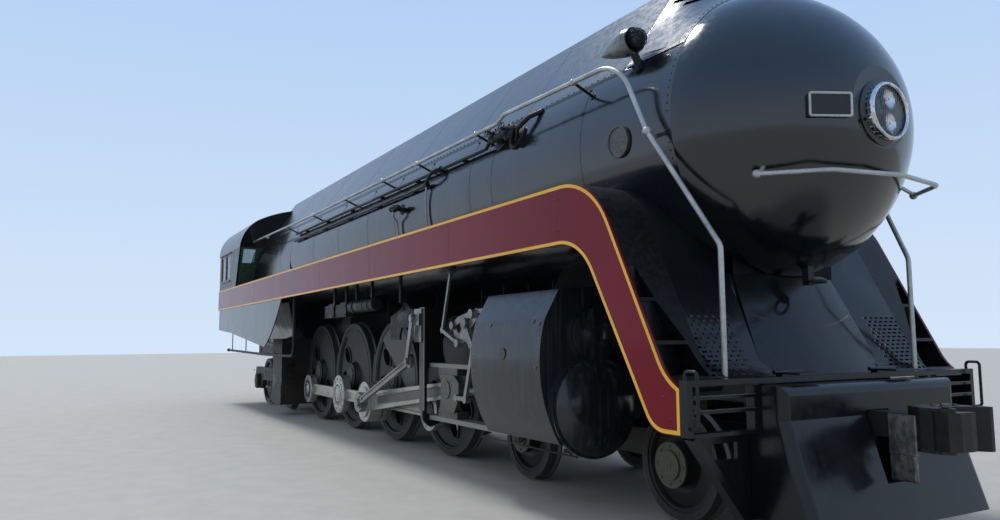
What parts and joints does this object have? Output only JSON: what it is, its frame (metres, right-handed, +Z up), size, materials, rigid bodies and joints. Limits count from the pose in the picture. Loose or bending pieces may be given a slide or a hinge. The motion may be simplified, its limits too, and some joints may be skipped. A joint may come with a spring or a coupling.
{
  "type": "streamlined steam locomotive",
  "caption": "Streamlined steam locomotive with a bullet nose, S-curved skirts, coupled driving wheels, side rods and swivelling trucks; it stands on its wheel flanges.",
  "frame": {"origin": "middle of the overall length on the centre line, at the lowest point of the wheel flanges", "axes": "+X towards the nose, +Y to the left, +Z up"},
  "size_m": [19.02, 3.412, 4.905],
  "materials": {
    "boiler_black": "gloss black enamel",
    "frame_black": "satin black",
    "maroon": "gloss maroon enamel with gold edging",
    "bare_steel": "machined steel",
    "rail_silver": "silver paint",
    "tyre_steel": "rolled steel tyre on black centre",
    "lamp_chrome": "polished",
    "cab_interior": "dark green enamel",
    "seat_leather": "black leather",
    "cast_iron": "rough casting"
  },
  "bodies": {
    "engine": {"ashpan": "frame_black", "backhead": "cast_iron", "boiler_jacket": "boiler_black", "boiler_valves": "frame_black", "brake_rigging": "frame_black", "cab_floor": "cab_interior", "cab_roof": "boiler_black", "cab_seats": "cab_interior", "cab_shell": "boiler_black", "class_lamps": "lamp_chrome", "coupler_front": "frame_black", "coupler_knuckle": "frame_black", "crosshead_left": "bare_steel", "crosshead_right": "bare_steel", "cylinder_left": "boiler_black", "cylinder_right": "boiler_black", "cylinder_saddle": "frame_black", "deck_covers": "boiler_black", "driving_boxes": "frame_black", "firebox": "boiler_black", "front_apron": "boiler_black", "guide_yoke_left": "frame_black", "guide_yoke_right": "frame_black", "handrail_left": "rail_silver", "handrail_right": "rail_silver", "headlight": "lamp_chrome", "lifting_ring": "frame_black", "link_brackets": "frame_black", "lubricators": "frame_black", "main_frame": "frame_black", "main_rod_left": "bare_steel", "main_rod_right": "bare_steel", "nose_cone": "boiler_black", "nose_rail": "rail_silver", "pilot": "boiler_black", "pilot_grabs": "frame_black", "rear_drawbar": "frame_black", "reservoirs": "frame_black", "running_board_left": "maroon", "running_board_right": "maroon", "seat_cushions": "seat_leather", "side_panels": "boiler_black", "side_pipes": "frame_black", "skyline_casing": "boiler_black", "stack": "frame_black", "valve_gear_left": "bare_steel", "valve_gear_right": "bare_steel"},
    "driver_1": {"driver_wheelset_1": "tyre_steel"},
    "driver_2": {"driver_wheelset_2": "tyre_steel"},
    "driver_3": {"driver_wheelset_3": "tyre_steel"},
    "driver_4": {"driver_wheelset_4": "tyre_steel"},
    "side_rods_right": {"side_rods_right": "bare_steel"},
    "side_rods_left": {"side_rods_left": "bare_steel"},
    "lead_truck": {"lead_truck_frame": "frame_black"},
    "lead_axle_1": {"lead_wheelset_1": "tyre_steel"},
    "lead_axle_2": {"lead_wheelset_2": "tyre_steel"},
    "trailing_truck": {"trailing_truck_frame": "frame_black"},
    "trailing_axle_1": {"trailing_wheelset_1": "tyre_steel"},
    "trailing_axle_2": {"trailing_wheelset_2": "tyre_steel"}
  },
  "joints": [
    {"name": "driver_1_spin", "type": "hinge", "parent": "engine", "child": "driver_1", "pos_m": [3.19, 0, 0.917], "axis": [0, 1, 0], "continuous": true},
    {"name": "driver_2_spin", "type": "hinge", "parent": "engine", "child": "driver_2", "pos_m": [1.285, 0, 0.917], "axis": [0, 1, 0], "continuous": true},
    {"name": "driver_3_spin", "type": "hinge", "parent": "engine", "child": "driver_3", "pos_m": [-0.62, 0, 0.917], "axis": [0, 1, 0], "continuous": true},
    {"name": "driver_4_spin", "type": "hinge", "parent": "engine", "child": "driver_4", "pos_m": [-2.525, 0, 0.917], "axis": [0, 1, 0], "continuous": true},
    {"name": "side_rods_right_pin", "type": "hinge", "parent": "driver_2", "child": "side_rods_right", "pos_m": [1.05068, -0.942, 0.58544], "axis": [0, 1, 0], "continuous": true},
    {"name": "side_rods_left_pin", "type": "hinge", "parent": "driver_2", "child": "side_rods_left", "pos_m": [1.61656, 0.942, 0.68268], "axis": [0, 1, 0], "continuous": true},
    {"name": "lead_truck_swivel", "type": "hinge", "parent": "engine", "child": "lead_truck", "pos_m": [6.3405, 0, 0.75], "axis": [0, 0, 1], "range_deg": [-4, 4]},
    {"name": "lead_axle_1_spin", "type": "hinge", "parent": "lead_truck", "child": "lead_axle_1", "pos_m": [7.528, 0, 0.485], "axis": [0, 1, 0], "continuous": true},
    {"name": "lead_axle_2_spin", "type": "hinge", "parent": "lead_truck", "child": "lead_axle_2", "pos_m": [5.153, 0, 0.485], "axis": [0, 1, 0], "continuous": true},
    {"name": "trailing_truck_swivel", "type": "hinge", "parent": "engine", "child": "trailing_truck", "pos_m": [-3.64, 0, 0.69], "axis": [0, 0, 1], "range_deg": [-3, 3]},
    {"name": "trailing_axle_1_spin", "type": "hinge", "parent": "trailing_truck", "child": "trailing_axle_1", "pos_m": [-4.96, 0, 0.561], "axis": [0, 1, 0], "continuous": true},
    {"name": "trailing_axle_2_spin", "type": "hinge", "parent": "trailing_truck", "child": "trailing_axle_2", "pos_m": [-6.886, 0, 0.561], "axis": [0, 1, 0], "continuous": true}
  ],
  "couplings": [
    {"joint": "driver_1_spin", "follows": "driver_2_spin", "ratio": 1},
    {"joint": "driver_3_spin", "follows": "driver_2_spin", "ratio": 1},
    {"joint": "driver_4_spin", "follows": "driver_2_spin", "ratio": 1},
    {"joint": "side_rods_right_pin", "follows": "driver_2_spin", "ratio": -1},
    {"joint": "side_rods_left_pin", "follows": "driver_2_spin", "ratio": -1}
  ]
}
